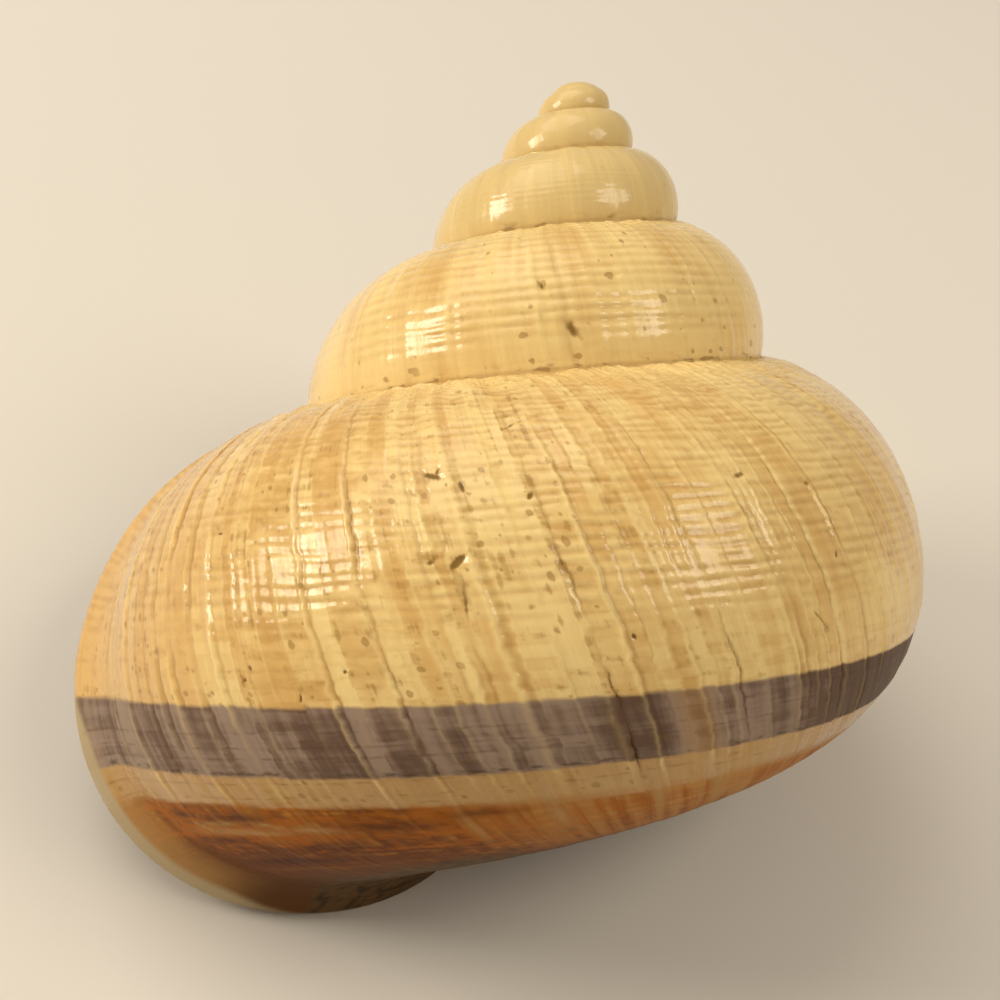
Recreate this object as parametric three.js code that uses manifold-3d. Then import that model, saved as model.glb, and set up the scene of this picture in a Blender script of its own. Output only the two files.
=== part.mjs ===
// Shell of the land snail Tropidophora cuvieriana, in millimetres, +Z up.
// One wall of lime that grew as a tube, widening as it coiled to the right about an axis: close to
// five whorls from the rounded nucleus at the apex to the flared lip of the mouth. The tube is
// hollow from the mouth inwards, and the coil leaves a narrow pit along its axis, the umbilicus.
// It lies the way it comes to rest on a table: on the edge of its lip and the far side of its
// last whorl, with the mouth turned down and the apex leaning back.

import * as THREE from "three";
import { mergeVertices } from "three/addons/utils/BufferGeometryUtils.js";
import Module from "manifold-3d";

const degree = Math.PI / 180;
const fullTurn = 2 * Math.PI;

// The coil. Lengths are those at the lip; every whorl back from it is smaller by whorlRatio.
const whorlCount = 4.72;
const whorlRatio = 1.829;
const lipAzimuth = 188.8 * degree; // where the lip stands, with the axis upright
const axisToMiddle = 15.4; // axis to the middle of the tube
const middleDrop = 45.3; // the middle's depth below the point that the spiral starts from
const outwardHalf = 16.8; // middle of the tube to the periphery
const inwardHalf = 13.0; // middle of the tube to the wall of the umbilicus
const upperHalf = 19.1; // middle of the tube to the side of the suture
const lowerHalf = 14.3; // middle of the tube to the base
const baseFullness = 0.965; // below 1, the lower half is squarer than an ellipse

// The adult's last part of a whorl leaves the even spiral, by these shares of the lengths above.
const lateTurn = 0.815 * fullTurn; // how far back from the lip the change begins
const lateAxis = 0.072; // the tube moves out from the axis
const lateOutward = -0.18; // its periphery draws in
const lateInward = -0.028; // so does its wall to the umbilicus
const lateUpper = -0.083; // its upper side flattens
const lateLower = 0.018; // its base deepens
const lateRise = 2.2; // mm that it stays nearer to the spire than the even spiral would
const lateTilt = 1.3 * degree; // its section leans out at the top

// The mouth: its edge slants back below and forward above, and its last millimetres flare out.
const mouthSlant = 0.464; // mm along the coil for each mm of height
const slantReach = 1.6; // radians of coil over which upright sections turn into the slant
const nearestRadius = 0.55; // share of axisToMiddle inside which the slant stops steepening
const lipFlare = 2.1; // how far the edge stands out from the tube
const flareAbove = 0.663; // share of the flare that is left on the upper side
const flareReach = 4.2; // mm back from the edge where the flare begins

// The nucleus: the tube's rounded start, curled round a ball on the axis.
const nucleusCurl = 1.0; // radians of coil over which the start rounds off
const ballRadius = 1.65;
const ballDepth = 3.15; // its middle, below the point that the spiral starts from

// The wall, and what is left hollow.
const wallThickness = 1.2; // of the last whorl
const lipThickness = 1.7; // of the flared edge
const hollowWhorls = 2.5; // whorls from the mouth that are hollow; the small ones are filled
const beyondLip = [0.25, 0.5]; // radians that the hollow runs on past the edge, to leave it open
const pillarEnd = 21; // depth where it ends and the open umbilicus begins
const pillarSlope = 0.17; // its radius for each mm of depth

// How it rests: leaning from the upright coil, on flats that wear has left.
const leanBack = 42 * degree;
const leanLeft = 6.5 * degree;
const wornDepth = 0.15;

// How finely the surface is divided.
const pointsOutside = 28; // round the tube
const pointsInside = 20;
const stepsInQuarter = (quarter) => Math.max(4, 8 - Math.floor(quarter / 2)); // 0 is at the lip
const stepsAtLip = 10;
const lipCrowding = 1.6; // above 1, the steps shorten towards the lip
const nucleusSteps = 5;
const coreSteps = 20; // round the ball and the core

const growthRate = Math.log(whorlRatio) / fullTurn;
const startTurn = -whorlCount * fullTurn;
const sizeAt = (turn) => Math.exp(growthRate * turn);

// A point round the tube's section at a turn, which is 0 at the lip and negative towards the apex.
// It lies in the half-plane through the axis. Swell grows the section by that much all round.
function sectionPoint(turn, around, swell = 0) {
  const late = Math.max(0, 1 + turn / lateTurn) ** 2;
  const curl = THREE.MathUtils.clamp((startTurn + nucleusCurl - turn) / nucleusCurl, 0, 1);
  const size = sizeAt(turn) * Math.sqrt(1 - curl * curl);
  const [c, s] = [Math.cos(around), Math.sin(around)];

  const halfWidth = c < 0 ? inwardHalf * (1 + lateInward * late) : outwardHalf * (1 + lateOutward * late);
  const halfHeight = s < 0 ? lowerHalf * (1 + lateLower * late) : upperHalf * (1 + lateUpper * late);
  const fullness = s < 0 ? baseFullness : 1;
  const grown = swell * (s < 0 ? 1 : 1 + (flareAbove - 1) * s);
  const across = (halfWidth * size + grown) * Math.sign(c) * Math.abs(c) ** fullness;
  const above = (halfHeight * size + grown) * Math.sign(s) * Math.abs(s) ** fullness;

  const tilt = lateTilt * late;
  const middle = axisToMiddle * sizeAt(turn) * (1 + lateAxis * late);
  const rise = across * Math.sin(tilt) + above * Math.cos(tilt);
  return {
    radius: middle + across * Math.cos(tilt) - above * Math.sin(tilt),
    height: rise - middleDrop * sizeAt(turn) + lateRise * late,
    rise,
    leastRadius: nearestRadius * middle,
  };
}

// The same point on the shell as it rests. A growth line runs ahead of its middle above and behind
// it below, fully at the lip. Depth is 0 on the outer face of the wall and 1 on the inner face.
const restTurn = new THREE.Matrix4().makeRotationX(-leanBack);
restTurn.multiply(new THREE.Matrix4().makeRotationY(-leanLeft));

function surfacePoint(turn, around, depth) {
  const upright = sectionPoint(turn, around);
  const reach = Math.max(upright.radius, upright.leastRadius);
  const slanted = THREE.MathUtils.smoothstep(turn, -slantReach, 0);
  const ahead = slanted * Math.atan2(mouthSlant * upright.rise, reach);

  const flare = Math.max(0, 1 + Math.min(0, turn * reach) / flareReach) ** 2;
  const wall = wallThickness * Math.sqrt(sizeAt(turn)) + (lipThickness - wallThickness) * flare;
  const point = sectionPoint(turn + ahead, around, lipFlare * flare - depth * wall);
  const azimuth = lipAzimuth - turn - ahead;
  return new THREE.Vector3(
    point.radius * Math.cos(azimuth),
    point.radius * Math.sin(azimuth),
    point.height,
  ).applyMatrix4(restTurn);
}

const wasm = await Module();
wasm.setup();
const solidFrom = (positions, corners) =>
  new wasm.Manifold(
    new wasm.Mesh({
      numProp: 3,
      vertProperties: new Float32Array(positions),
      triVerts: new Uint32Array(corners),
    }),
  );

// A primitive of three.js as a solid.
function solidOf(geometry) {
  geometry.deleteAttribute("normal");
  geometry.deleteAttribute("uv");
  const closed = mergeVertices(geometry, 1e-4);
  return solidFrom(closed.attributes.position.array, closed.index.array);
}

// A length of tube through rings at the given turns, closed at each end by a fan of triangles.
function tubeThrough(turns, pointsRound, depth) {
  const rings = turns.map((turn) =>
    Array.from({ length: pointsRound }, (_, i) => surfacePoint(turn, (i / pointsRound) * fullTurn, depth)),
  );
  const centreOf = (ring) =>
    ring.reduce((sum, point) => sum.add(point), new THREE.Vector3()).divideScalar(pointsRound);
  const points = [...rings.flat(), centreOf(rings[0]), centreOf(rings.at(-1))];

  const lastRing = (rings.length - 1) * pointsRound;
  const corners = [];
  for (let i = 0; i < pointsRound; i++) {
    const next = (i + 1) % pointsRound;
    for (let ring = 0; ring < lastRing; ring += pointsRound) {
      const [a, b] = [ring + i, ring + next];
      corners.push(a, b, b + pointsRound, a, b + pointsRound, a + pointsRound);
    }
    corners.push(points.length - 2, next, i);
    corners.push(points.length - 1, lastRing + i, lastRing + next);
  }
  return solidFrom(points.flatMap((point) => point.toArray()), corners);
}

// The rings of each quarter turn, from the lip back; neighbours share a ring.
const quarters = [];
for (let quarter = 0; quarter * fullTurn / 4 < -startTurn; quarter++) {
  const late = (-quarter * fullTurn) / 4;
  const early = late - fullTurn / 4;
  const steps = quarter === 0 ? stepsAtLip : stepsInQuarter(quarter);
  const crowding = quarter === 0 ? lipCrowding : 1;
  const turns = [];
  for (let step = 0; step <= steps; step++) {
    turns.push(late + (early - late) * (1 - step / steps) ** crowding);
  }
  quarters.push(turns.filter((turn) => turn > startTurn + nucleusCurl));
}

// The oldest quarter ends in the rounded nucleus.
const nucleus = [];
for (let step = 1; step <= nucleusSteps; step++) {
  const curl = Math.cos((step / nucleusSteps) * (fullTurn / 4));
  nucleus.push(startTurn + nucleusCurl * (1 - curl));
}
quarters.push([...nucleus, ...quarters.pop()]);

const lengths = quarters.map((turns) => tubeThrough(turns, pointsOutside, 0));
const joined = (solids) => solids.reduce((sum, solid) => sum.add(solid));

// The ball of the nucleus, and the core that fills the coil round its axis in the small whorls.
const ball = new THREE.SphereGeometry(ballRadius, coreSteps, coreSteps / 2);
ball.translate(0, 0, -ballDepth);
const [pillarTip, pillarFoot] = [pillarSlope * ballDepth, pillarSlope * pillarEnd];
const pillar = new THREE.CylinderGeometry(pillarTip, pillarFoot, pillarEnd - ballDepth, coreSteps);
pillar.rotateX(fullTurn / 4);
pillar.translate(0, 0, -(ballDepth + pillarEnd) / 2);
const core = [ball, pillar].map((geometry) => solidOf(geometry.applyMatrix4(restTurn)));
let shell = joined([...lengths, ...core]);

// The hollow, half a turn at a time. The outside of the whorls before bulges into it and stays.
for (let half = 0; half < 2 * hollowWhorls; half++) {
  const turns = [...quarters[2 * half + 1], ...quarters[2 * half].slice(1)];
  if (half === 0) turns.push(...beyondLip);
  else turns.push(quarters[2 * half - 1][1]); // one ring into the length after it
  const olderWhorls = joined(lengths.slice(2 * half + 3));
  shell = shell.subtract(tubeThrough(turns, pointsInside, 1).subtract(olderWhorls));
}

// The worn flats on which it rests, cut by a block wider than the shell.
const lowest = shell.boundingBox().min[2];
const blockSize = 4 * axisToMiddle + 4 * outwardHalf;
const block = new THREE.BoxGeometry(blockSize, blockSize, blockSize);
block.translate(0, 0, lowest + wornDepth - blockSize / 2);
shell = shell.subtract(solidOf(block));

// The joins leave a few flat specks, which have no volume. The shell is the body that has one.
const bodies = shell.decompose().sort((a, b) => b.volume() - a.volume());
const surface = bodies[0].getMesh();
const geometry = new THREE.BufferGeometry();
geometry.setAttribute("position", new THREE.BufferAttribute(surface.vertProperties, 3));
geometry.setIndex(new THREE.BufferAttribute(surface.triVerts, 1));
geometry.computeVertexNormals();
geometry.computeBoundingBox();

const lime = new THREE.MeshStandardMaterial({ color: 0xd8b878, roughness: 0.35, metalness: 0 });
const shellMesh = new THREE.Mesh(geometry, lime);
shellMesh.name = "shell";

// The origin is under the middle of the shell, on the table.
const { min, max } = geometry.boundingBox;
shellMesh.position.set(-(min.x + max.x) / 2, -(min.y + max.y) / 2, -min.z);

const part = new THREE.Group();
part.name = "tropidophora_cuvieriana_shell";
part.add(shellMesh);
export default part;
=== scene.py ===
import math

import bpy
from mathutils import Matrix, Vector


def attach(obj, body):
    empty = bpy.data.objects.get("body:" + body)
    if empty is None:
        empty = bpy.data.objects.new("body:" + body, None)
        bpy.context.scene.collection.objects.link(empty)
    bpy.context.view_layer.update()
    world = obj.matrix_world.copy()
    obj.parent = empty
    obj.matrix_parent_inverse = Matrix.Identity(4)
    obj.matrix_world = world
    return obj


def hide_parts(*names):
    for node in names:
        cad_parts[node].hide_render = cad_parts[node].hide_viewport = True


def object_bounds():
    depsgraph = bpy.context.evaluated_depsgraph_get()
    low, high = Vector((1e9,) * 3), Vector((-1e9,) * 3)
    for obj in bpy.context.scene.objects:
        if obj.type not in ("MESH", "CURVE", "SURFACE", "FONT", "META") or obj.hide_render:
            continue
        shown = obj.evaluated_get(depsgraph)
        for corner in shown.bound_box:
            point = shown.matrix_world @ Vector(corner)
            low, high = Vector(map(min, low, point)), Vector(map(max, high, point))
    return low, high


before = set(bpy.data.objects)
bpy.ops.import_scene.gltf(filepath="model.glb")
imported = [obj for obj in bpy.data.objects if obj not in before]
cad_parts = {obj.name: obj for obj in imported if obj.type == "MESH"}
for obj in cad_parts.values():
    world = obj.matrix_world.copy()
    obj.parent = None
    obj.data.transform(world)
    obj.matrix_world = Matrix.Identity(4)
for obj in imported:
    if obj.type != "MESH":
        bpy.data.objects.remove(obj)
cadLow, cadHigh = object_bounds()
mm = 0.001
fullTurn = 2 * math.pi
degrees = math.degrees
radians = math.radians

# the rule of the spiral, in millimetres and radians, the same one that the solid shell follows
spiral = {
    "whorlCount": 4.72,
    "whorlRatio": 1.829,
    "lipAzimuth": radians(188.8),
    "axisToMiddle": 15.4,
    "middleDrop": 45.3,
    "outwardHalf": 16.8,
    "inwardHalf": 13.0,
    "upperHalf": 19.1,
    "lowerHalf": 14.3,
    "baseFullness": 0.965,
    "lateTurn": 0.815 * fullTurn,
    "lateAxis": 0.072,
    "lateOutward": -0.18,
    "lateInward": -0.028,
    "lateUpper": -0.083,
    "lateLower": 0.018,
    "lateRise": 2.2,
    "lateTilt": radians(1.3),
    "mouthSlant": 0.464,
    "olderSlant": 0.432,  # how much of the slant is lost in one turn back from the lip
    "leastSlant": 0.35,
    "nearestRadius": 0.55,
    "lipFlare": 2.1,
    "flareAbove": 0.663,
    "flareReach": 4.2,
    "nucleusCurl": 1.0,
    "wallThickness": 1.2,
    "lipThickness": 1.7,
    "lipRound": 0.62,
    "ballRadius": 1.62,
    "ballWide": 1.3,  # how much wider than tall the first ball is
    "ballDepth": 3.15,
    "inset": 0.17,  # the relief stands on a surface this far inside the solid's
}
growthRate = math.log(spiral["whorlRatio"]) / fullTurn
outerRadius, sectionRadius = 29.5, 15.5  # of the last whorl at the lip, to measure marks by
lying = {"leanBack": 42, "leanLeft": 6.5, "shift": (-0.23767, 25.02377, 38.26671)}
layDown = (
    Matrix.Rotation(-radians(lying["leanBack"]), 3, "X")
    @ Matrix.Rotation(-radians(lying["leanLeft"]), 3, "Y")
)


# arithmetic on sockets, for geometry trees and shader trees alike
class Reading:  # one socket, which can be added, multiplied and so on
    def __init__(self, tree, socket):
        self.tree = tree
        self.socket = socket

    def __add__(self, other):
        return maths("ADD", self, other)

    __radd__ = __add__

    def __sub__(self, other):
        return maths("SUBTRACT", self, other)

    def __rsub__(self, other):
        return maths("SUBTRACT", other, self)

    def __mul__(self, other):
        return maths("MULTIPLY", self, other)

    __rmul__ = __mul__

    def __truediv__(self, other):
        return maths("DIVIDE", self, other)

    def __rtruediv__(self, other):
        return maths("DIVIDE", other, self)

    def __neg__(self):
        return maths("MULTIPLY", self, -1.0)


def feed(tree, slot, term):
    if isinstance(term, Reading):
        tree.links.new(term.socket, slot)
    else:
        slot.default_value = term


def maths(operation, *terms):
    tree = next(term.tree for term in terms if isinstance(term, Reading))
    node = tree.nodes.new("ShaderNodeMath")
    node.operation = operation
    for slot, term in zip(node.inputs, terms):
        feed(tree, slot, term)
    return Reading(tree, node.outputs[0])


def sine(x):
    return maths("SINE", x)


def cosine(x):
    return maths("COSINE", x)


def root(x):
    return maths("SQRT", x)


def positive(x):
    return maths("MAXIMUM", x, 0.0)


def absolute(x):
    return maths("ABSOLUTE", x)


def lesser(x, y):
    return maths("MINIMUM", x, y)


def blend(low, high, share):
    return low + (high - low) * share


def below(x, limit):  # 1 where x is under the limit
    return maths("LESS_THAN", x, limit)


def bell(x, middle, width):  # 1 at the middle, gone at about two widths
    off = maths("MULTIPLY_ADD", x, 1.0 / width, -middle / width)
    return maths("POWER", 1 / math.e, off * off)


def ramp(x, start, end):  # 0 at start and 1 at end, easing at both
    node = x.tree.nodes.new("ShaderNodeMapRange")
    node.interpolation_type = "SMOOTHSTEP"
    feed(x.tree, node.inputs["Value"], x)
    feed(x.tree, node.inputs["From Min"], start)
    feed(x.tree, node.inputs["From Max"], end)
    return Reading(x.tree, node.outputs["Result"])


def between(x, start, end, soft):
    return ramp(x, start - soft, start + soft) * ramp(x, end + soft, end - soft)


def vector(*parts):
    tree = next(part.tree for part in parts if isinstance(part, Reading))
    node = tree.nodes.new("ShaderNodeCombineXYZ")
    for slot, part in zip(node.inputs, parts):
        feed(tree, slot, part)
    return Reading(tree, node.outputs[0])


def noise(place, detail=2.0, roughness=0.5):
    node = place.tree.nodes.new("ShaderNodeTexNoise")
    feed(place.tree, node.inputs["Vector"], place)
    for name, value in (("Scale", 1.0), ("Detail", detail), ("Roughness", roughness)):
        node.inputs[name].default_value = value
    return Reading(place.tree, node.outputs[0])


def randomFor(*parts):  # one number for each set of whole numbers
    place = vector(*parts)
    node = place.tree.nodes.new("ShaderNodeTexWhiteNoise")
    node.noise_dimensions = "3D"
    feed(place.tree, node.inputs["Vector"], place)
    return Reading(place.tree, node.outputs["Value"])


socketKinds = {"shape": "Geometry", "outside": "Material", "inside": "Material"}


def newGroup(kind, name, ins, outs, fill):
    # a tree of its own: fill is given its inputs by name and gives back its outputs by name
    tree = bpy.data.node_groups.new(name, kind)
    for direction, labels in (("INPUT", ins), ("OUTPUT", outs)):
        for label in labels:
            socket = "NodeSocket" + socketKinds.get(label, "Float")
            tree.interface.new_socket(name=label, in_out=direction, socket_type=socket)
    start, end = tree.nodes.new("NodeGroupInput"), tree.nodes.new("NodeGroupOutput")
    made = fill(tree, {label: Reading(tree, start.outputs[label]) for label in ins})
    for label in outs:
        feed(tree, end.inputs[label], made[label])
    return tree


def call(tree, group, values):
    kind = "GeometryNodeGroup" if tree.bl_idname == "GeometryNodeTree" else "ShaderNodeGroup"
    node = tree.nodes.new(kind)
    node.node_tree = group
    for socket in node.inputs:
        if socket.name in values:
            feed(tree, socket, values[socket.name])
    return {socket.name: Reading(tree, socket) for socket in node.outputs}


def action(kind, shape, **settings):
    # one geometry node with the shape fed to its first socket
    node = shape.tree.nodes.new(kind)
    feed(shape.tree, node.inputs[0], shape)
    for label, value in settings.items():
        feed(shape.tree, node.inputs[label], value)
    return Reading(shape.tree, node.outputs[0])


# growth marks, in degrees back from the lip: place, half width, and how far it stands out (or is sunk)
growthMarks = [
    (-12.5, 0.5, 0.5), (-18.6, 0.8, 0.7), (-22.4, 0.3, -0.5), (-25.0, 0.35, -0.6), (-27.2, 0.35, 0.5),
    (-28.3, 0.5, -0.8), (-30.9, 0.6, 0.8), (-31.9, 0.3, -0.6), (-35.2, 0.25, 0.5), (-36.2, 0.4, -0.8),
    (-39.5, 0.55, 1.1), (-42.3, 0.25, 0.3), (-43.8, 0.3, 0.6), (-46.9, 0.3, 0.35), (-50.1, 0.25, 0.4),
    (-53.6, 0.4, 1.1), (-54.3, 0.25, -0.4), (-56.6, 0.3, 0.3), (-60.7, 0.4, 0.8), (-61.4, 0.25, -0.7),
    (-64.4, 0.3, 0.35), (-66.9, 0.35, 0.5), (-69.0, 0.4, -0.5), (-70.3, 0.35, 0.7), (-71.7, 0.35, -0.6),
    (-74.4, 0.8, 0.9), (-76.3, 0.25, 0.4), (-79.9, 0.3, 0.5), (-83.3, 0.7, 0.5), (-84.3, 0.25, -1.2),
    (-87.3, 0.4, 0.9), (-90.0, 0.3, -0.5), (-92.0, 0.4, 0.5), (-94.2, 0.4, 0.6), (-96.4, 0.35, 0.5),
    (-98.4, 0.5, 0.5), (-99.6, 0.25, -1.0), (-103.2, 0.3, 0.4), (-108.1, 0.4, 0.9), (-109.9, 0.35, -0.6),
    (-111.4, 0.3, 0.7), (-113.6, 0.3, 0.7), (-116.2, 0.25, -0.9), (-117.0, 0.25, 0.4), (-121.4, 0.45, 0.8),
    (-122.1, 0.25, -0.4), (-126.3, 0.35, 0.6), (-131.6, 0.3, 0.5), (-136.4, 0.35, 0.6),
]
olderFolds = [  # the same for the broad folds on the whorl before the last
    (-397.0, 0.7, 0.9), (-424.0, 0.5, 0.5), (-434.0, 1.0, 1.1), (-440.0, 0.8, -0.7), (-466.0, 0.7, 0.8),
    (-476.0, 0.6, 1.0), (-486.0, 0.5, 0.6),
]
markNames = ("lines", "grooves", "tone", "patches", "rows", "pits", "pale", "dusky")
# degrees back from the lip: where the smooth first whorls end, where the last whorl begins, and where its
# cords turn finer
stages = {"firstWhorls": (-1150.0, -620.0), "lastWhorl": (-385.0, -330.0), "finerCords": (-285.0, -140.0)}
farFromSeam = 9.0  # millimetres, given to what has no neighbouring whorl
lineRule = {"wander": 1.2, "jitter": 0.9, "narrow": 0.7, "gap": 2.3, "lift": 0.55, "listFrom": -139.0}
threadRule = {"spacing": 4.9, "halfGroove": 0.14, "wander": 0.7, "ripple": 0.9}
reliefHeights = {"line": 0.11, "thread": 0.08, "swell": 0.2, "fibre": 0.09, "sutureWave": 1.3, "chip": 0.09}


# chips and pits: growth, around, half length and half width in millimetres, how it is turned, depth
chips = [
    (-72.6, 37.5, 0.7, 0.15, 20, 0.8), (-73.6, 38.8, 0.35, 0.1, -50, 0.7),
    (-85.0, 50.8, 1.0, 0.12, -25, 0.55), (-83.5, 31.8, 0.32, 0.13, -40, 0.8),
    (-88.8, 2.6, 0.12, 0.12, 0, 1.3), (-56.3, -1.1, 0.11, 0.11, 0, 1.1), (-44.4, 0.1, 0.2, 0.16, 0, 0.8),
    (-43.3, -2.4, 0.15, 0.12, 0, 0.7), (-49.7, -6.7, 0.3, 0.08, -60, 1.0), (-41.8, 27.1, 0.3, 0.08, 10, 1.0),
    (-73.1, 19.0, 0.62, 0.16, -35, 1.1), (-69.9, 18.8, 0.3, 0.12, -20, 0.8),
    (-72.0, 10.0, 1.0, 0.09, -75, 0.5), (-111.0, 34.0, 0.5, 0.18, -15, 0.75),
    (-121.2, 31.0, 0.32, 0.18, -25, 0.7),
    (-120.1, 14.3, 0.2, 0.1, -60, 0.8), (-113.6, 2.0, 1.0, 0.13, 52, 0.6), (-75.8, 34.8, 0.4, 0.15, 70, 0.8),
    (-436.0, 28.5, 0.5, 0.14, 70, 0.8), (-441.0, 9.0, 0.55, 0.3, 60, 0.8),
]


# streaks and blotches on the brown base, written the same way
paleSpots = [
    (-27.0, -44.2, 4.2, 0.24, 0, 1.0), (-39.5, -43.6, 1.8, 0.26, 4, 0.9), (-24.0, -41.0, 2.0, 0.22, -8, 0.9),
    (-33.0, -41.0, 1.6, 0.2, 20, 0.8), (-20.0, -43.0, 1.2, 0.2, 30, 0.8), (-72.0, -45.0, 0.5, 2.0, 0, 0.8),
    (-60.5, -46.0, 0.3, 1.8, 0, 0.6), (-86.0, -44.0, 0.4, 2.2, 0, 0.8), (-95.0, -45.0, 0.6, 2.0, 0, 0.7),
]
darkSpots = [
    (-27.0, -57.6, 4.5, 0.5, 0, 1.0), (-17.0, -38.5, 1.4, 0.35, 0, 0.9), (-29.0, -38.5, 2.2, 0.4, 0, 1.0),
    (-23.0, -40.0, 0.9, 0.3, 15, 0.8), (-20.0, -47.5, 3.0, 0.4, 0, 0.8), (-50.0, -43.0, 3.5, 0.4, 0, 0.7),
    (-63.0, -41.0, 2.5, 0.3, 0, 0.6), (-38.0, -51.0, 3.0, 0.4, 0, 0.6),
]


# each noise pattern: how often it repeats in its two directions, its seed, its detail and, if not 0.5, its
# roughness
grain = {
    "drift": (0.35, 0.12, 4.0, 2.0), "jitter": (1.3, 0.35, 7.0, 1.0), "breaks": (0.22, 0.5, 9.0, 2.0),
    "sway": (0.16, 0.6, 2.0, 2.0), "ripple": (0.9, 0.5, 3.0, 1.0), "even": (0.35, 0.7, 8.0, 3.0),
    "patches": (0.16, 0.1, 11.0, 4.0), "swells": (0.3, 0.05, 1.0, 2.0), "folds": (0.55, 0.3, 6.0, 3.0),
    "fibres": (1.4, 0.15, 5.0, 1.0), "rows": (0.05, 0.55, 41.0, 3.0, 0.6), "checks": (0.8, 1.6, 21.0, 2.0),
    "streaks": (0.9, 0.06, 31.0, 3.0, 0.6), "clouds": (0.1, 0.12, 15.0, 3.0),
}


def grainOf(name, first, second):
    often, oftenSecond, seed, *texture = grain[name]
    return noise(vector(first * often, second * oftenSecond, seed), *texture)


def spotMarks(spots, growth, around):
    marks = None
    for degree, angle, long, wide, turned, deep in spots:
        grown = math.exp(growthRate * radians(degree))
        u, v = radians(outerRadius * grown), radians(sectionRadius * grown)
        c, s = math.cos(radians(turned)), math.sin(radians(turned))
        du, dv = growth - degree, around - angle
        a = maths("MULTIPLY_ADD", dv, v * s / long, du * (u * c / long))
        b = maths("MULTIPLY_ADD", dv, v * c / wide, du * (-u * s / wide))
        spot = maths("POWER", 1 / math.e, maths("MULTIPLY_ADD", a, a, b * b)) * deep
        marks = spot if marks is None else maths("MAXIMUM", marks, spot)
    return marks


def surfaceRun(growth, around):
    # millimetres along the whorl and across it
    grown = maths("EXPONENT", growth * radians(growthRate))
    return grown * (outerRadius / growthRate), around * grown * radians(sectionRadius)


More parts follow.
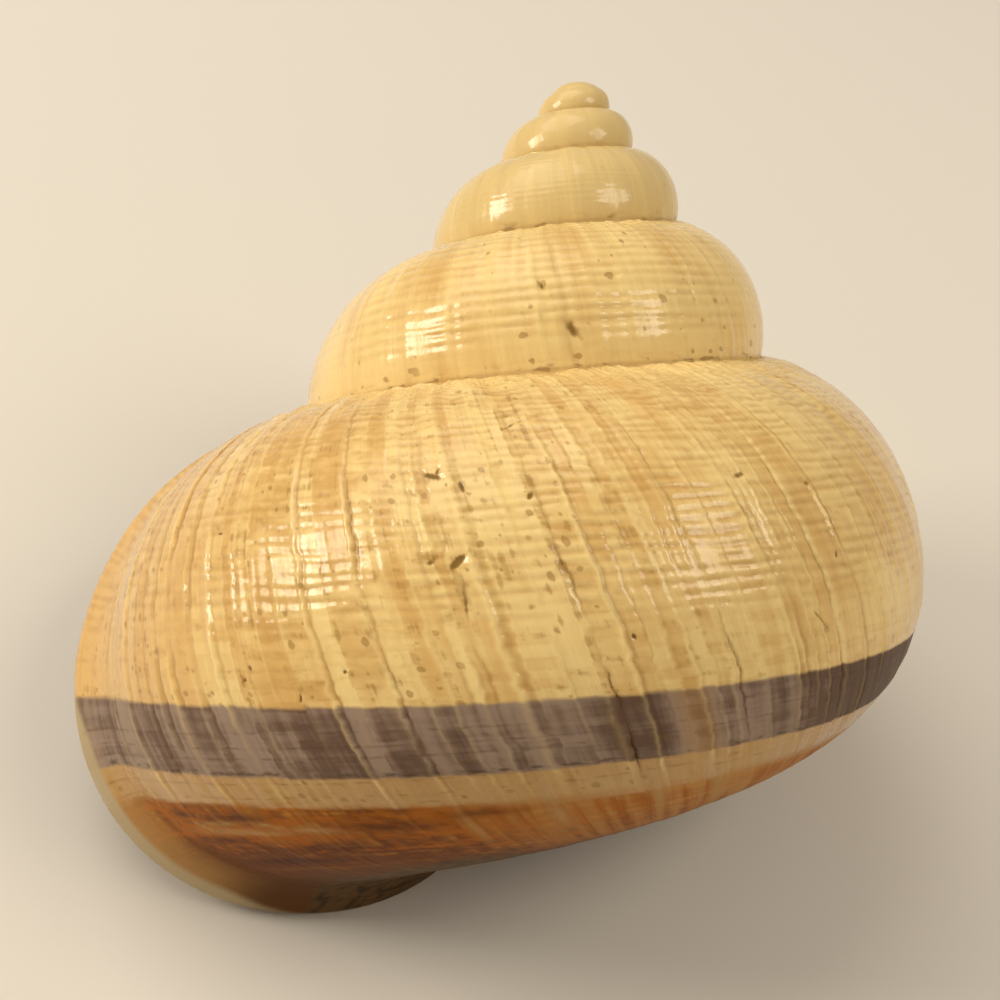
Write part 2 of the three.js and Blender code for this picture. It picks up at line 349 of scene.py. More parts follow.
def fillMarks(tree, given):
    growth, around = given["growth"], given["around"]
    along, across = surfaceRun(growth, around)
    smooth = ramp(growth, *stages["firstWhorls"])  # the first whorls are smooth
    # raised and sunk lines that follow the lip's edge
    drift = grainOf("drift", across, along) - 0.5
    jitter = grainOf("jitter", across, along) - 0.5
    place = growth + drift * lineRule["wander"] + jitter * lineRule["jitter"]
    lines, layer = drift * 0.0, drift * 0.0
    for degree, width, lift in growthMarks:
        width *= lineRule["narrow"]
        lines = maths("MULTIPLY_ADD", bell(place, degree, width), lift, lines)
        # the undercut is relief, and the finish also paints it darker as painted shadow
        if lift > 0.4:  # the older side of a strong line is undercut
            lines = maths("MULTIPLY_ADD", bell(place, degree - 2.0 * width, width), lift * -0.5, lines)
        layer = layer + maths("GREATER_THAN", place, degree)
    for degree, width, lift in olderFolds:
        lines = maths("MULTIPLY_ADD", bell(growth + drift * 4.0, degree, width), lift, lines)
    edge, pick = (tree.nodes.new("ShaderNodeTexVoronoi") for _ in range(2))
    for node, feature in ((edge, "DISTANCE_TO_EDGE"), (pick, "F1")):
        node.voronoi_dimensions, node.feature = "1D", feature
        node.inputs["Scale"].default_value = 1.0
        feed(tree, node.inputs["W"], (along + drift * 0.5) / lineRule["gap"])
    older = ramp(growth, lineRule["listFrom"] + 4.0, lineRule["listFrom"] - 4.0) * 0.75 + 0.25
    layer = layer + below(growth, lineRule["listFrom"]) * Reading(tree, pick.outputs["Color"]) * 50.0
    lines = lines + bell(Reading(tree, edge.outputs["Distance"]), 0.0, 0.1) * older * lineRule["lift"]
    lines = lines * (ramp(grainOf("breaks", across, along), 0.3, 0.66) * 1.1 + 0.15) * smooth
    lines = lines * (1.0 - ramp(around, 34.0, 60.0) * ramp(growth, -48.0, -66.0) * 0.75)
    lines = lines * blend(0.15, 1.0, ramp(absolute(around - 60.0), 97.0, 84.0))
    # narrow grooves that run round the whorl, with flat cords left between them
    sway = grainOf("sway", along, across) - 0.5
    ripple = (grainOf("ripple", along, across) - 0.5) * ramp(around, 25.0, 75.0)
    count = around / threadRule["spacing"] + sway * threadRule["wander"] + ripple * threadRule["ripple"]
    late = ramp(growth, *stages["lastWhorl"])
    groove = absolute(maths("FRACT", count) - 0.5) * blend(0.55, 1.0, late)
    grooves = bell(groove, 0.0, threadRule["halfGroove"])
    newer = bell(absolute(maths("FRACT", count + 0.5) - 0.5), 0.0, threadRule["halfGroove"])
    grooves = grooves + newer * ramp(growth, *stages["finerCords"])
    grooves = grooves * (ramp(around, 2.0, 14.0) * ramp(around, 104.0, 78.0) * 0.9 + 0.1)
    grooves = grooves * lesser(ramp(growth, -550.0, -490.0) + ramp(growth, -900.0, -780.0) * 0.55, 1.0)
    even = ramp(grainOf("even", along, across), 0.36, 0.6)
    grooves = grooves * blend(blend(0.4, 0.2, late), 1.0, even)
    front = between(growth, -492.0, -390.0, 14.0) * 0.75 + ramp(growth, -640.0, -740.0) * 0.75 + 0.25
    grooves = grooves * blend(front * 0.85, randomFor(layer, 7.0, 3.0) * 0.5 + 0.5, late)
    # each layer of growth, and each piece of a cord in it, has a tone of its own
    fine = below(stages["finerCords"][0], growth)
    cord = maths("FLOOR", count * 2.0) * fine + maths("FLOOR", count + 0.5) * (1.0 - fine)
    tone = blend(0.25, randomFor(layer, 0.5, 1.0) * 0.5, ramp(growth, -420.0, -340.0) * 0.75 + 0.25)
    tone = tone + randomFor(layer, cord, 2.0) * 0.3
    tone = blend(0.45, tone, ramp(growth, -150.0, -100.0) * 0.45 + 0.55)
    patches = grainOf("patches", along, across)
    rows = grainOf("rows", along, around)
    # how far the surface stands out with all of it, in millimetres
    swells = grainOf("swells", along, across) - 0.5
    folds = grainOf("folds", along, across) - 0.5
    wave = folds * ramp(around, 56.0, 76.0)
    fibres = grainOf("fibres", along, across) - 0.5
    grown = maths("EXPONENT", growth * radians(growthRate))
    pits = spotMarks(chips, growth + jitter * 0.8, around + ripple * 1.5)
    relief = lines * reliefHeights["line"] - grooves * blend(1.7, 1.0, late) * reliefHeights["thread"]
    uneven = swells * reliefHeights["swell"] + wave * reliefHeights["sutureWave"]
    calm = blend(1.0, 0.4, ramp(growth, -32.0, -12.0)) * blend(0.3, 1.0, ramp(around, -48.0, -34.0))
    uneven = uneven + fibres * calm * blend(1.5, 1.0, late) * reliefHeights["fibre"]
    relief = (relief + uneven * smooth) * root(grown) - pits * reliefHeights["chip"]
    return {
        "lines": lines, "grooves": grooves, "relief": relief, "tone": blend(0.4, tone, smooth),
        "patches": patches, "rows": rows, "pits": pits,
        "pale": spotMarks(paleSpots, growth, around + drift * 3.0),
        "dusky": spotMarks(darkSpots, growth, around + drift * 3.0),
    }


def fillSection(tree, given):
    # a point of the whorl's egg-shaped section, at a turn and an angle, swollen by so many millimetres
    turn, around = given["turn"], given["around"]
    x = positive(turn / given["lateTurn"] + 1.0)
    late = x * x
    grown = maths("EXPONENT", turn * growthRate)
    begin = -given["whorlCount"] * fullTurn
    curl = lesser(positive((begin + given["nucleusCurl"] - turn) / given["nucleusCurl"]), 1.0)
    curled = grown * root(1.0 - curl * curl)
    c, s = cosine(around), sine(around)
    inward, under = below(c, 0.0), below(s, 0.0)
    half = blend(
        given["outwardHalf"] * (given["lateOutward"] * late + 1.0),
        given["inwardHalf"] * (given["lateInward"] * late + 1.0),
        inward,
    )
    tall = blend(
        given["upperHalf"] * (given["lateUpper"] * late + 1.0),
        given["lowerHalf"] * (given["lateLower"] * late + 1.0),
        under,
    )
    fullness = blend(1.0, given["baseFullness"], under)
    swell = given["swell"] * blend(1.0, given["flareAbove"], positive(s)) * lesser(curled * 8.0, 1.0)
    across = (half * curled + swell) * maths("SIGN", c) * maths("POWER", absolute(c), fullness)
    above = (tall * curled + swell) * maths("SIGN", s) * maths("POWER", absolute(s), fullness)
    tilt = given["lateTilt"] * late
    middle = given["axisToMiddle"] * grown * (given["lateAxis"] * late + 1.0)
    rise = across * sine(tilt) + above * cosine(tilt)
    centre = given["lateRise"] * late - given["middleDrop"] * grown
    radius = middle + across * cosine(tilt) - above * sine(tilt)
    return {
        "radius": radius, "height": rise + centre, "rise": rise, "middle": middle, "centre": centre,
        "reach": maths("MAXIMUM", radius, given["nearestRadius"] * middle),
        "wide": half * grown, "high": tall * grown, "grown": grown,
    }


def fillGap(tree, given):
    # how far a point is outside the section of a neighbouring whorl, in millimetres
    sizes = {name: given[name] for name in spiral}
    middle = call(tree, whorlSection, {**sizes, "turn": given["turn"], "around": 0.0, "swell": 0.0})
    dx, dy = given["radius"] - middle["middle"], given["height"] - middle["centre"]
    around = maths("ARCTAN2", dy, dx)
    other = call(tree, whorlSection, {**sizes, "turn": given["turn"], "around": around, "swell": 0.0})
    away = root(dx * dx + dy * dy)
    sx, sy = dx / other["wide"], dy / other["high"]
    share = root(sx * sx + sy * sy) + 0.0001
    return {"gap": away - away / share}


def storeOn(shape, name, value, kind="FLOAT"):
    node = shape.tree.nodes.new("GeometryNodeStoreNamedAttribute")
    node.data_type, node.domain = kind, "POINT"
    feed(shape.tree, node.inputs["Geometry"], shape)
    node.inputs["Name"].default_value = name
    feed(shape.tree, node.inputs["Value"], value)
    return Reading(shape.tree, node.outputs["Geometry"])


def fillSurface(tree, given):
    # places the points of a grid on the shell: each ring lies along a growth line
    sizes = {name: given[name] for name in spiral}
    around, keep = given["around"], given["keep"]
    flat = call(tree, whorlSection, {**sizes, "turn": given["turn"], "around": around, "swell": 0.0})
    turn = given["turn"] - given["beforeLip"] / flat["reach"]
    first = call(tree, whorlSection, {**sizes, "turn": turn, "around": around, "swell": 0.0})
    lean = maths("MAXIMUM", turn * (given["olderSlant"] / fullTurn) + 1.0, given["leastSlant"])
    ahead = maths("ARCTAN2", given["mouthSlant"] * lean * first["rise"], first["reach"])
    fromLip = turn * first["reach"]
    y = positive(lesser(fromLip, 0.0) / given["flareReach"] + 1.0)
    flare = y * y
    wall = given["wallThickness"] * root(first["grown"])
    wall = wall + (given["lipThickness"] - given["wallThickness"]) * flare
    growth = turn * degrees(1.0)
    wrapped = maths("ARCTAN2", sine(around), cosine(around)) * degrees(1.0)
    marks = call(tree, marksOnMesh, {"growth": growth, "around": wrapped})
    swell = given["lipFlare"] * flare - wall * given["depth"]
    swell = swell + (marks["relief"] - given["inset"]) * (1.0 - given["depth"])
    end = turn + ahead
    final = call(tree, whorlSection, {**sizes, "turn": end, "around": around, "swell": swell})
    azimuth = given["lipAzimuth"] - end
    hub = given["lipAzimuth"] - turn
    x = blend(first["middle"] * cosine(hub), final["radius"] * cosine(azimuth), keep)
    y = blend(first["middle"] * sine(hub), final["radius"] * sine(azimuth), keep)
    z = blend(first["centre"], final["height"], keep)
    shape = given["shape"]
    at = {**sizes, "radius": final["radius"], "height": final["height"]}
    toNext = call(tree, gapToWhorl, {**at, "turn": end + fullTurn})["gap"]
    toLast = call(tree, gapToWhorl, {**at, "turn": end - fullTurn})["gap"]
    toNext = blend(farFromSeam, absolute(toNext), below(turn, -fullTurn))
    for name, value in (
        ("growth", growth), ("beforeLip", -fromLip), ("seamGap", lesser(toNext, absolute(toLast))),
        ("lining", given["lining"]), *((name, marks[name]) for name in markNames),
    ):
        shape = storeOn(shape, name, value)
    shape = storeOn(shape, "around", vector(cosine(around), sine(around), 0.0), "FLOAT_VECTOR")
    return {"shape": action("GeometryNodeSetPosition", shape, Position=vector(x * mm, y * mm, z * mm))}


treeSizes = {
    "startWhorl": 0.0, "endWhorl": 0.0, "rings": 0, "facePoints": 0, "basePoints": 0, "hiddenPoints": 0,
    "crowding": 1.0, "lipRings": 12, "liningRings": 0, "liningWhorl": -0.8, "capRings": 4,
    "opens": 0, "hasNucleus": 0,
}
# degrees of the section: the face runs from the upper edge past the side, then the base, then what is hidden
spans = {"upperEdge": 118.0, "face": 153.0, "base": 115.0}
# the first small ball: its grid, and where it counts as lying for the finish
firstBall = {"segments": 72, "rings": 40, "growth": -1690.0, "beforeLip": 99.0, "seamGap": farFromSeam}
# points closer than this many millimetres are joined, and edges over this many degrees stay sharp
meshLimits = {"joinWithin": 0.0005, "sharpOver": 50}


def fillShell(tree, given):
    points = given["facePoints"] + given["basePoints"] + given["hiddenPoints"] + 1.0
    sizes = {name: given[name] for name in spiral}
    zero = given["opens"] * 0.0

    def sheet(rings, turnAt, beforeLip, depth, keep, lining=0.0):
        node = tree.nodes.new("GeometryNodeMeshGrid")
        feed(tree, node.inputs["Vertices X"], rings)
        feed(tree, node.inputs["Vertices Y"], points)
        index = Reading(tree, tree.nodes.new("GeometryNodeInputIndex").outputs[0])
        ring = maths("FLOOR", (index + 0.5) / points)
        point = index - ring * points
        share = ring / (rings - 1.0)
        face = lesser(point / given["facePoints"], 1.0)
        base = lesser(positive((point - given["facePoints"]) / given["basePoints"]), 1.0)
        rest = positive((point - given["facePoints"] - given["basePoints"]) / given["hiddenPoints"])
        angle = spans["upperEdge"] - face * spans["face"] - base * spans["base"]
        angle = angle - rest * (360.0 - spans["face"] - spans["base"])
        values = {
            **sizes, "shape": Reading(tree, node.outputs["Mesh"]), "around": angle * radians(1.0),
            "turn": turnAt(share), "beforeLip": beforeLip(share), "depth": depth(share), "keep": keep(share),
            "lining": lining,
        }
        return call(tree, shellSurface, values)["shape"]

    def join(*shapes):
        node = tree.nodes.new("GeometryNodeJoinGeometry")
        for shape in shapes:
            tree.links.new(shape.socket, node.inputs[0])
        return Reading(tree, node.outputs[0])

    def only(shape, switch):
        node = tree.nodes.new("GeometryNodeSwitch")
        node.input_type = "GEOMETRY"
        feed(tree, node.inputs["Switch"], switch)
        feed(tree, node.inputs["True"], shape)
        return Reading(tree, node.outputs[0])

    startTurn, endTurn = given["startWhorl"] * fullTurn, given["endWhorl"] * fullTurn
    startGrown, endGrown = maths("EXPONENT", startTurn * growthRate), maths("EXPONENT", endTurn * growthRate)

    def evenly(share):  # rings keep their distance from each other as the whorl grows
        crowded = 1.0 - maths("POWER", 1.0 - share, given["crowding"])
        return maths("LOGARITHM", blend(startGrown, endGrown, crowded), math.e) / growthRate

    def fixed(value):
        return lambda share: value + zero

    pulled = given["lipRound"] * given["opens"]
    liningTurn = given["liningWhorl"] * fullTurn
    mouth = join(
        sheet(  # round the lip's edge
            given["lipRings"], fixed(0.0), lambda s: (1.0 - sine(s * math.pi)) * pulled,
            lambda s: (1.0 - cosine(s * math.pi)) * 0.5, fixed(1.0),
        ),
        sheet(  # back into the mouth
            given["liningRings"], lambda s: maths("POWER", s, 1.5) * liningTurn,
            lambda s: (1.0 - s) * pulled, fixed(1.0), fixed(1.0), lining=1.0,
        ),
        sheet(given["capRings"], fixed(liningTurn), fixed(0.0), fixed(1.0), lambda s: 1.0 - s, lining=1.0),
    )
    # a disc right across the tube closes each end, except at the lip
    end = sheet(given["capRings"], fixed(endTurn), fixed(0.0), fixed(0.0), lambda s: 1.0 - s)
    whole = join(
        sheet(given["rings"], evenly, lambda s: ramp(s, 0.9, 1.0) * pulled, fixed(0.0), fixed(1.0)),
        sheet(given["capRings"], fixed(startTurn), fixed(0.0), fixed(0.0), lambda s: s),
        only(end, 1.0 - given["opens"]),
        only(mouth, given["opens"]),
    )
    whole = action("GeometryNodeMergeByDistance", whole, Distance=meshLimits["joinWithin"] * mm)
    ball = tree.nodes.new("GeometryNodeMeshUVSphere")
    ball.inputs["Segments"].default_value = firstBall["segments"]
    ball.inputs["Rings"].default_value = firstBall["rings"]
    feed(tree, ball.inputs["Radius"], given["ballRadius"] * mm)
    nucleus = Reading(tree, ball.outputs["Mesh"])
    nucleus = action(
        "GeometryNodeTransform", nucleus,
        Translation=vector(0.0, 0.0, given["ballDepth"] * -mm),
        Scale=vector(given["ballWide"], given["ballWide"], 1.0),
    )
    for name in ("growth", "beforeLip", "seamGap"):
        nucleus = storeOn(nucleus, name, zero + firstBall[name])
    nucleus = storeOn(nucleus, "around", vector(zero, 1.0, 0.0), "FLOAT_VECTOR")
    whole = join(whole, only(nucleus, given["hasNucleus"]))
    # laid down as it rests, with what reaches under the floor worn flat
    whole = action(
        "GeometryNodeTransform", whole,
        Rotation=layDown.to_euler("XYZ"), Translation=Vector(lying["shift"]) * mm,
    )
    spot = tree.nodes.new("ShaderNodeSeparateXYZ")
    tree.links.new(tree.nodes.new("GeometryNodeInputPosition").outputs[0], spot.inputs[0])
    x, y, z = (Reading(tree, socket) for socket in spot.outputs)
    whole = action("GeometryNodeSetPosition", whole, Position=vector(x, y, positive(z)))
    whole = action("GeometryNodeRealizeInstances", action("GeometryNodeSetShadeSmooth", whole))
    lining = tree.nodes.new("GeometryNodeInputNamedAttribute")
    lining.inputs["Name"].default_value = "lining"
    isLining = maths("GREATER_THAN", Reading(tree, lining.outputs["Attribute"]), 0.6)
    whole = action("GeometryNodeSetMaterial", whole, Material=given["outside"])
    return {"shape": action("GeometryNodeSetMaterial", whole, Selection=isLining, Material=given["inside"])}


print("building the spiral trees")
geometry = "GeometryNodeTree"
marksOnMesh = newGroup(geometry, "growthMarks", ("growth", "around"), ("relief", *markNames), fillMarks)
whorlSection = newGroup(
    geometry, "whorlSection", (*spiral, "turn", "around", "swell"),
    ("radius", "height", "rise", "middle", "centre", "reach", "wide", "high", "grown"), fillSection,
)
gapToWhorl = newGroup(geometry, "gapToWhorl", (*spiral, "turn", "radius", "height"), ("gap",), fillGap)
shellSurface = newGroup(
    geometry, "shellSurface", ("shape", *spiral, "turn", "around", "beforeLip", "depth", "keep", "lining"),
    ("shape",), fillSurface,
)
shellInputs = (*spiral, *treeSizes, "outside", "inside")
spiralTree = newGroup(geometry, "spiralShell", shellInputs, ("shape",), fillShell)


def shellPiece(name, sizes, finishes):
    piece = bpy.data.objects.new(name, bpy.data.meshes.new(name + ".start"))
    bpy.context.scene.collection.objects.link(piece)
    modifier = piece.modifiers.new("spiral", "NODES")
    modifier.node_group = spiralTree
    values = {**spiral, **treeSizes, **sizes, **finishes}
    for item in spiralTree.interface.items_tree:
        if item.in_out == "INPUT":
            modifier[item.identifier] = values[item.name]
    made = piece.evaluated_get(bpy.context.evaluated_depsgraph_get())
    mesh = bpy.data.meshes.new_from_object(made)
    piece.modifiers.clear()
    piece.data = mesh
    mesh.name = name
    mesh.set_sharp_from_angle(angle=radians(meshLimits["sharpOver"]))
    print(name, "has", len(mesh.polygons), "faces")
    return piece


def tint(code):  # a colour as a painter's hex code, made linear
    parts = [int(code[k : k + 2], 16) / 255 for k in (0, 2, 4)]
    return [c / 12.92 if c <= 0.04045 else ((c + 0.055) / 1.055) ** 2.4 for c in parts] + [1.0]


def paint(under, over, share):
    tree = share.tree
    node = tree.nodes.new("ShaderNodeMix")
    node.data_type = "RGBA"
    for slot, term in zip((node.inputs[0], node.inputs[6], node.inputs[7]), (share, under, over)):
        feed(tree, slot, term)
    return Reading(tree, node.outputs[2])


def attribute(tree, name, output="Fac"):
    node = tree.nodes.new("ShaderNodeAttribute")
    node.attribute_name = name
    return Reading(tree, node.outputs[output])


def fillPlace(tree, given):
    growth = attribute(tree, "growth")
    split = tree.nodes.new("ShaderNodeSeparateXYZ")
    tree.links.new(attribute(tree, "around", "Vector").socket, split.inputs[0])
    x, y, _ = (Reading(tree, socket) for socket in split.outputs)
    around = maths("ARCTAN2", y, x) * degrees(1.0)
    along, across = surfaceRun(growth, around)
    return {
        "growth": growth, "around": around, "along": along, "across": across,
        "striae": noise(vector(along * given["striaePerMm"], across * 0.1, 3.0)),
        "streaks": grainOf("streaks", along, across),
        "checks": grainOf("checks", along, across),
    }


print("mixing the finishes")
placeOnShell = newGroup(
    "ShaderNodeTree", "placeOnShell", ("striaePerMm",),
    ("growth", "around", "along", "across", "striae", "streaks", "checks"), fillPlace,
)


def finish(name, striaePerMm):
    material = bpy.data.materials.new(name)
    material.use_nodes = True
    tree = material.node_tree
    here = call(tree, placeOnShell, {"striaePerMm": striaePerMm})
    for label in (*markNames, "beforeLip", "seamGap"):
        here[label] = attribute(tree, label)
    return material, tree, tree.nodes["Principled BSDF"], here


def bumpOn(tree, shader, height):
    bump = tree.nodes.new("ShaderNodeBump")
    bump.inputs["Distance"].default_value = mm
    feed(tree, bump.inputs["Height"], height)
    tree.links.new(bump.outputs[0], shader.inputs["Normal"])


# under is the underside's own brown, made darker as painted shade
shellColours = {
    "ochre": tint("DAAE67"), "cream": tint("EFD08B"), "amber": tint("BA8B49"), "apex": tint("D9BC7E"),
    "bandDark": tint("674F40"), "bandPale": tint("998270"), "bandEdge": tint("46342A"), "tan": tint("B08650"),
    "rust": tint("A55C0E"), "rustDark": tint("6A3404"), "rustPale": tint("C98734"), "under": tint("593311"),
    "moss": tint("17130A"), "lip": tint("B39E7A"), "dirt": tint("7A5222"), "line": tint("906728"),
    "chip": tint("775A27"), "ember": tint("4C1E04"), "olive": tint("5E4526"),
}
gloss = {
    "smoothest": 0.14, "roughest": 0.36, "coat": 0.75, "coatRoughness": 0.11,
    "specular": 0.15, "specularTint": (1.0, 0.84, 0.6, 1.0),
}
# degrees from the lip back and from the side up: where the band and the brown base begin, and how they lean
bandRule = {"top": (-7.0, 0.038), "bottom": (-24.2, 0.052), "brown": (-33.5, 0.045)}
# thin lines that run round the whorl, in the band and under it: their angle and half width, in degrees
roundLines = {
    "inBand": ((-15.0, 0.35), (-18.6, 0.3), (-21.4, 0.35)),
    "underBand": ((-28.3, 0.35), (-32.4, 0.4), (-35.0, 0.4)),
}


def bandEdgeAt(name, growth):
    place, lean = bandRule[name]
    return maths("MULTIPLY_ADD", growth, lean, place)


def roundLinesAt(name, around):
    first, *others = (bell(around, angle, width) for angle, width in roundLines[name])
    return sum(others, first)


def outsideFinish():
    material, tree, shader, here = finish("outerShell", 2.4)
    hue = shellColours
    growth, around, along, across = here["growth"], here["around"], here["along"], here["across"]
    streaks, checks, patches, rows, tone = (here[k] for k in ("streaks", "checks", "patches", "rows", "tone"))
    raised, sunk = positive(here["lines"]), positive(-here["lines"])
    fade = ramp(growth, *stages["firstWhorls"])  # the first whorls are smooth
    late = ramp(growth, *stages["lastWhorl"])
    # body colour: each layer of growth laps over the last, each with cords of its own tone
    # the last 15 to 48 degrees before the lip are made less pale: painted shade along the left edge of the
    # shell
    pale = patches * 0.4 + streaks * 0.4 + tone * 0.25 - ramp(growth, -48.0, -15.0) * 0.17
    colour = paint(hue["ochre"], hue["cream"], ramp(pale + (1.0 - late) * 0.06, 0.38, 0.62))
    shade = ramp(checks * 0.35 + streaks * 0.3 + rows * 0.2 + (0.8 - tone) * 0.2, 0.48, 0.62)
    right = ramp(growth, -82.0, -108.0) * late  # cleaner towards the right
    colour = paint(colour, hue["amber"], shade * blend(0.1, 0.45, late) * fade * (1.0 - right * 0.45))
    colour = paint(colour, hue["amber"], here["grooves"] * blend(0.42, 0.6, late))
    dashes = ramp(here["striae"] * 0.55 + checks * 0.45, 0.555, 0.63) * ramp(patches, 0.36, 0.5)
    colour = paint(colour, hue["line"], dashes * late * (0.38 - right * 0.2))
    colour = paint(colour, hue["cream"], ramp(around, 62.0, 80.0) * 0.6)
    colour = paint(colour, hue["apex"], ramp(growth, -520.0, -720.0) * 0.85)
    # the brown base
    lower = below(around, 60.0) * ramp(growth, -370.0, -355.0)
    older = ramp(growth, -50.0, -85.0)  # paler and softer where the layers are older
    edge = bandEdgeAt("brown", growth) + (rows - 0.5) * 7.0 + (streaks - 0.5) * 3.0 - older * 1.2
    brown = ramp(around, edge + 1.4 + older * 0.4, edge - 1.4 - older * 3.0)
    deep = ramp(around, -45.0, -58.0) * (ramp(growth, -70.0, -30.0) * 0.7 + 0.3)
    rust = ramp(rows * 0.55 + checks * 0.3 + patches * 0.15 + deep * 0.16, 0.46, 0.6)
    rust = paint(hue["rust"], hue["rustDark"], rust)
    bright = ramp(rows * 0.5 + checks * 0.2 + streaks * 0.3 + older * 0.06, 0.5, 0.64)
    rust = paint(rust, hue["rustPale"], bright * (0.8 - deep * 0.6))
    rust = paint(rust, hue["tan"], ramp(here["beforeLip"], 5.0, 1.0) * 0.8)
    rust = paint(rust, hue["tan"], older * ramp(streaks, 0.4, 0.6) * 0.55)
    rust = paint(rust, hue["tan"], lesser(here["pale"] * (checks + 0.7), 0.95))
    rust = paint(rust, hue["ember"], lesser(here["dusky"] * (checks + 0.5), 0.85))
    # towards the underside the brown turns to the under colour: its own brown, darkened further as painted
    # shade where the base faces the floor
    rust = paint(rust, hue["under"], ramp(around, -58.0, -76.0) * 0.95)
    mossEdge = maths("MULTIPLY_ADD", maths("MAXIMUM", growth, -70.0), -0.42, -86.0)
    mossy = ramp(around - mossEdge, 2.0, -2.0) * ramp(growth, -68.0, -50.0)
    rust = paint(rust, hue["olive"], mossy * 0.85)
    rust = paint(rust, hue["moss"], ramp(checks * 0.8 + patches * 0.2, 0.45, 0.62) * mossy * 0.65)
    stripe = roundLinesAt("underBand", around)
    side = paint(colour, hue["tan"], ramp(around, -22.0, -26.0) * 0.85)
    side = paint(side, hue["line"], stripe * ramp(rows * 0.5 + checks * 0.5, 0.48, 0.6) * 0.6)
    side = paint(side, rust, brown)
    # the dark band
    wobble = (checks - 0.5) * 0.8 + (tone - 0.5) * 0.9
    top, bottom = bandEdgeAt("top", growth) + wobble, bandEdgeAt("bottom", growth) + wobble
    inBand = ramp(around, top + 0.8, top - 0.5) * ramp(around, bottom - 0.7, bottom + 0.5)
    darkest = ramp(growth, -98.0, -125.0) * 0.2 + between(growth, -90.0, -80.0, 3.0) * 0.1
    band = ramp(rows * 0.15 + checks * 0.15 + streaks * 0.5 + tone * 0.3 - darkest, 0.36, 0.62)
    band = paint(hue["bandDark"], hue["bandPale"], band)
    band = paint(band, hue["bandEdge"], roundLinesAt("inBand", around) * ramp(checks, 0.4, 0.65) * 0.4)
    band = paint(band, hue["bandEdge"], bell(around - bottom, 0.8, 0.6) * ramp(checks, 0.47, 0.62) * 0.7)
    band = paint(band, hue["bandEdge"], ramp(growth, -104.0, -130.0) * 0.45)
    worn = between(growth, -95.5, -91.0, 1.2) * 0.75 + ramp(streaks, 0.6, 0.75) * 0.4
    band = paint(band, hue["tan"], lesser(worn, 1.0) * 0.6)
    side = paint(side, band, inBand)
    colour = paint(colour, side, lower)
    # growth lines, lip, dirt and pits
    dark = lesser(inBand * 0.7 + brown * 0.75, 1.0) * lower
    colour = paint(colour, hue["cream"], lesser(raised * 0.75, 1.0) * (1.0 - dark))
    # sunk lines are painted darker: brown dirt in the grooves, and painted shadow along the undercut older
    # side of each strong raised line
    sunkColour = paint(hue["line"], hue["bandEdge"], dark)
    colour = paint(colour, sunkColour, lesser(sunk * (dark * 0.2 + 0.55), 0.75))
    lipWidth = ramp(around, -2.0, -20.0) * ramp(around, -88.0, -62.0) * 0.85 + 0.3
    atLip = ramp(here["beforeLip"] + (streaks - 0.5) * 0.4 - lipWidth, 0.25, -0.25)
    colour = paint(colour, paint(hue["lip"], hue["olive"], ramp(around, -66.0, -86.0) * 0.8), atLip)
    crumbs = bell(here["seamGap"], 0.0, 0.35) * ramp(checks, 0.55, 0.66)
    seam = lesser(bell(here["seamGap"], 0.0, 0.16) * 0.4 + crumbs, 1.0) * (fade * 0.7 + 0.3)
    colour = paint(colour, hue["dirt"], seam * 0.65)
    dots = tree.nodes.new("ShaderNodeTexVoronoi")
    dots.voronoi_dimensions = "2D"
    feed(tree, dots.inputs["Vector"], vector(along * 0.75, across * 0.75, 0.0))
    dots.inputs["Scale"].default_value = 1.0
    wide = ramp(Reading(tree, dots.outputs["Color"]), 0.38, 0.85) * 0.17
    speck = Reading(tree, dots.outputs["Distance"]) + (checks - 0.5) * 0.5 + (here["striae"] - 0.5) * 0.4
    speck = ramp(speck, wide, wide - 0.08) * ramp(patches, 0.38, 0.52) * ramp(growth, -760.0, -560.0)
    speck = speck * (1.0 - right * 0.75)
    pits = here["pits"] + (here["striae"] - 0.5) * 0.9 + (checks - 0.5) * 0.9
    colour = paint(colour, hue["line"], lesser(ramp(pits, 0.2, 0.5) + speck * (1.0 - dark), 1.0) * 0.55)
    pits = ramp(pits, 0.4, 0.7)
    colour = paint(colour, hue["chip"], pits * 0.85)
    feed(tree, shader.inputs["Base Color"], colour)
    # gloss
    rough = blend(gloss["smoothest"], gloss["roughest"], streaks) + raised * 0.05 + (1.0 - fade) * 0.05
    feed(tree, shader.inputs["Roughness"], rough + lesser(pits + seam, 1.0) * 0.4 + dark * 0.34)
    coat = ramp(streaks, 0.75, 0.35) * positive(1.0 - dark * 1.5 - pits)
    feed(tree, shader.inputs["Coat Weight"], coat * gloss["coat"])
    shader.inputs["Coat Roughness"].default_value = gloss["coatRoughness"]
    shader.inputs["Specular IOR Level"].default_value = gloss["specular"]
    shader.inputs["Specular Tint"].default_value = gloss["specularTint"]
    fine = (here["striae"] - 0.5) * (fade * 0.06 + 0.014) + (checks - 0.5) * 0.03 * fade
    bumpOn(tree, shader, fine * (1.0 - dark * 0.6))
    return material


liningFinish = {
    "cloudy": tint("D9C49A"), "clear": tint("EFE3C4"), "band": tint("9C8672"), "base": tint("B48A5A"),
    "smoothest": 0.16, "roughest": 0.3, "coat": 0.3, "coatRoughness": 0.08,
}


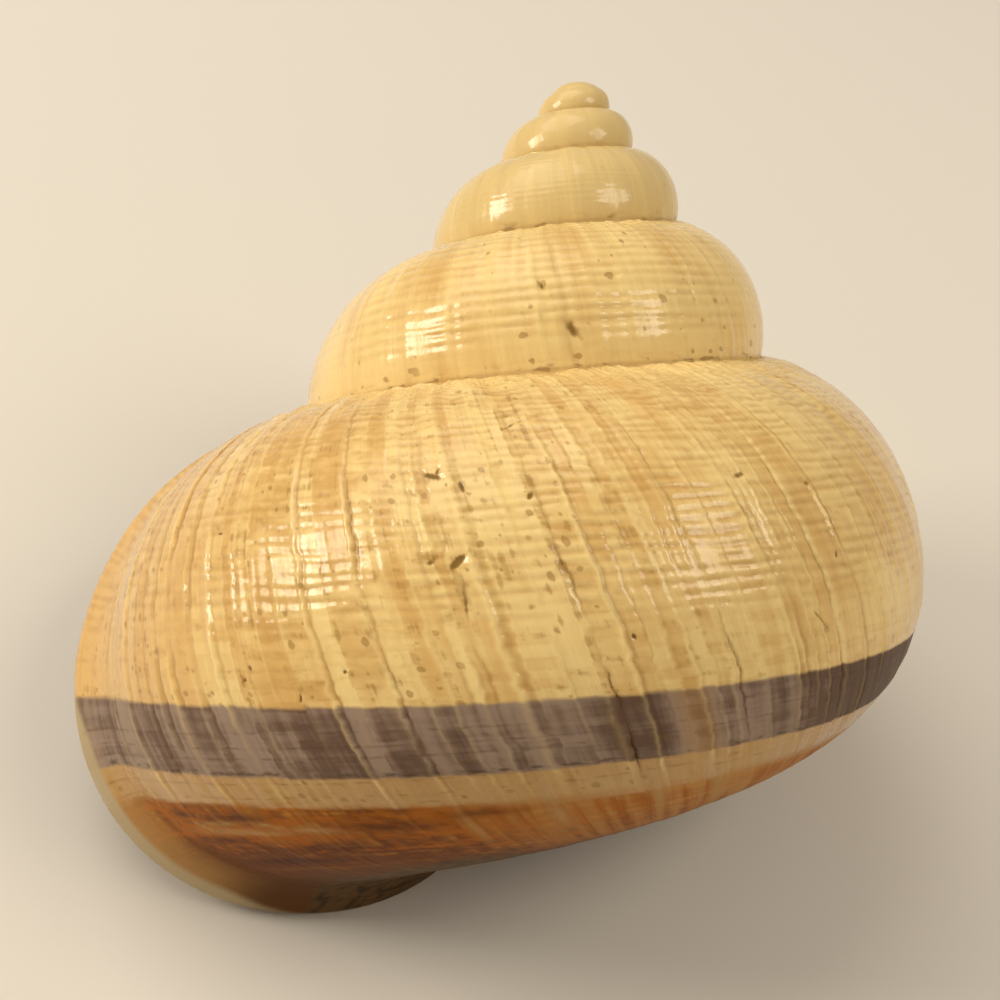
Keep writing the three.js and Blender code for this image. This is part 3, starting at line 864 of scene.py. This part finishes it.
def insideFinish():
    material, tree, shader, here = finish("innerLining", 1.6)
    growth, around = here["growth"], here["around"]
    clouds = grainOf("clouds", here["along"], here["across"])
    deep = ramp(here["beforeLip"], 2.0, 6.0)
    cloudy = ramp(clouds + here["striae"] * 0.3, 0.5, 0.8)
    colour = paint(liningFinish["cloudy"], liningFinish["clear"], cloudy)
    inBand = between(around, bandEdgeAt("bottom", growth), bandEdgeAt("top", growth), 1.5)
    colour = paint(colour, liningFinish["band"], inBand * 0.45 * deep)
    base = ramp(around, -33.0, -42.0) * ramp(around, -120.0, -80.0)
    colour = paint(colour, liningFinish["base"], base * 0.4 * deep)
    feed(tree, shader.inputs["Base Color"], colour)
    feed(tree, shader.inputs["Roughness"], blend(liningFinish["smoothest"], liningFinish["roughest"], clouds))
    shader.inputs["Coat Weight"].default_value = liningFinish["coat"]
    shader.inputs["Coat Roughness"].default_value = liningFinish["coatRoughness"]
    bumpOn(tree, shader, (here["striae"] - 0.5) * 0.03)
    return material


finishes = {"outside": outsideFinish(), "inside": insideFinish()}

print("turning the whorls")
# each piece is one length of the spiral, in whorls back from the lip
fineGrid = {"rings": 180, "facePoints": 330, "basePoints": 96, "hiddenPoints": 14}
lengths = {
    "spire": {
        "startWhorl": -spiral["whorlCount"], "endWhorl": -1.9,
        "rings": 520, "facePoints": 112, "basePoints": 24, "hiddenPoints": 12, "hasNucleus": 1,
    },
    "whorlBeforeLast": {
        "startWhorl": -1.9, "endWhorl": -1.0,
        "rings": 470, "facePoints": 188, "basePoints": 16, "hiddenPoints": 6,
    },
    "lastWhorlBack": {
        "startWhorl": -1.0, "endWhorl": -0.42,
        "rings": 350, "facePoints": 176, "basePoints": 84, "hiddenPoints": 14,
    },
    "lastWhorlRight": {"startWhorl": -0.42, "endWhorl": -0.315, **fineGrid},
    "lastWhorlMiddle": {"startWhorl": -0.315, "endWhorl": -0.21, **fineGrid},
    "lastWhorlLeft": {"startWhorl": -0.21, "endWhorl": -0.105, **fineGrid},
    "lastWhorlLip": {
        "startWhorl": -0.105, "endWhorl": 0.0, **fineGrid, "rings": 152,
        "opens": 1, "crowding": 1.12, "liningRings": 40,
    },
}
for name, sizes in lengths.items():
    piece = shellPiece(name, sizes, finishes)
    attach(piece, "root")
    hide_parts("shell")

print("setting the floor, camera and lights")
stand = {"floorRadius": 2.5, "floorCorners": 96, "floorColour": tint("DBD3C7"), "floorRoughness": 0.75}
corners = stand["floorCorners"]
bpy.ops.mesh.primitive_circle_add(vertices=corners, radius=stand["floorRadius"], fill_type="NGON")
floor = bpy.context.object
floor.name = "floor"
floorPaint = bpy.data.materials.new("paleFloor")
floorPaint.use_nodes = True
floorShader = floorPaint.node_tree.nodes["Principled BSDF"]
floorShader.inputs["Base Color"].default_value = stand["floorColour"]
floorShader.inputs["Roughness"].default_value = stand["floorRoughness"]
floor.data.materials.append(floorPaint)

# the photograph looks square at the axis: the camera is set in the upright shell and laid down with it
shot = {
    "aim": (-4.081, 0, -30.548), "away": 103.9, "above": 0.1, "roll": 2.87,
    "lens": 54.15, "sensor": 36, "nearest": 0.005, "farthest": 20,
}
above, roll = radians(shot["above"]), radians(shot["roll"])
back = Vector((0, -math.cos(above), math.sin(above)))
upright, level = Vector((0, math.sin(above), math.cos(above))), Vector((1, 0, 0))
right = level * math.cos(roll) + upright * math.sin(roll)
up = upright * math.cos(roll) - level * math.sin(roll)
cameraData = bpy.data.cameras.new("camera")
cameraData.lens = shot["lens"]
cameraData.sensor_width = shot["sensor"]
cameraData.clip_start, cameraData.clip_end = shot["nearest"], shot["farthest"]
camera = bpy.data.objects.new("camera", cameraData)
turned = layDown @ Matrix((right, up, back)).transposed()
place = layDown @ (Vector(shot["aim"]) + back * shot["away"]) + Vector(lying["shift"])
camera.matrix_world = Matrix.Translation(place * mm) @ turned.to_4x4()
bpy.context.scene.collection.objects.link(camera)
bpy.context.scene.camera = camera

studio = {"boxDistance": 0.6, "sky": (1.0, 0.93, 0.83, 1.0), "skyStrength": 0.33}
# each softbox: where it stands from the shell (right, up and towards the camera), its size, watts and colour
softboxes = {
    "softboxLeft": ((-0.82, 0.46, 0.35), (0.22, 0.22), 2.05, (1.0, 0.93, 0.8)),
    "softboxRight": ((0.68, 0.42, 0.6), (0.24, 0.27), 1.25, (1.0, 0.93, 0.8)),
    "softboxTop": ((-0.3, 0.95, 0.3), (0.5, 0.5), 1.55, (1.0, 0.95, 0.87)),
}
for name, (direction, extent, watts, colour) in softboxes.items():
    data = bpy.data.lights.new(name, "AREA")
    data.shape = "RECTANGLE"
    data.size, data.size_y = extent
    data.energy, data.color = watts, colour
    lamp = bpy.data.objects.new(name, data)
    way = (turned @ Vector(direction)).normalized()
    lamp.location = (cadLow + cadHigh) / 2 + way * studio["boxDistance"]
    lamp.rotation_mode = "QUATERNION"
    lamp.rotation_quaternion = way.to_track_quat("Z", "Y")
    bpy.context.scene.collection.objects.link(lamp)
world = bpy.data.worlds.new("studio")
world.use_nodes = True
world.node_tree.nodes["Background"].inputs[0].default_value = studio["sky"]
world.node_tree.nodes["Background"].inputs[1].default_value = studio["skyStrength"]
bpy.context.scene.world = world
bpy.context.scene.view_settings.view_transform = "Standard"

print("done")
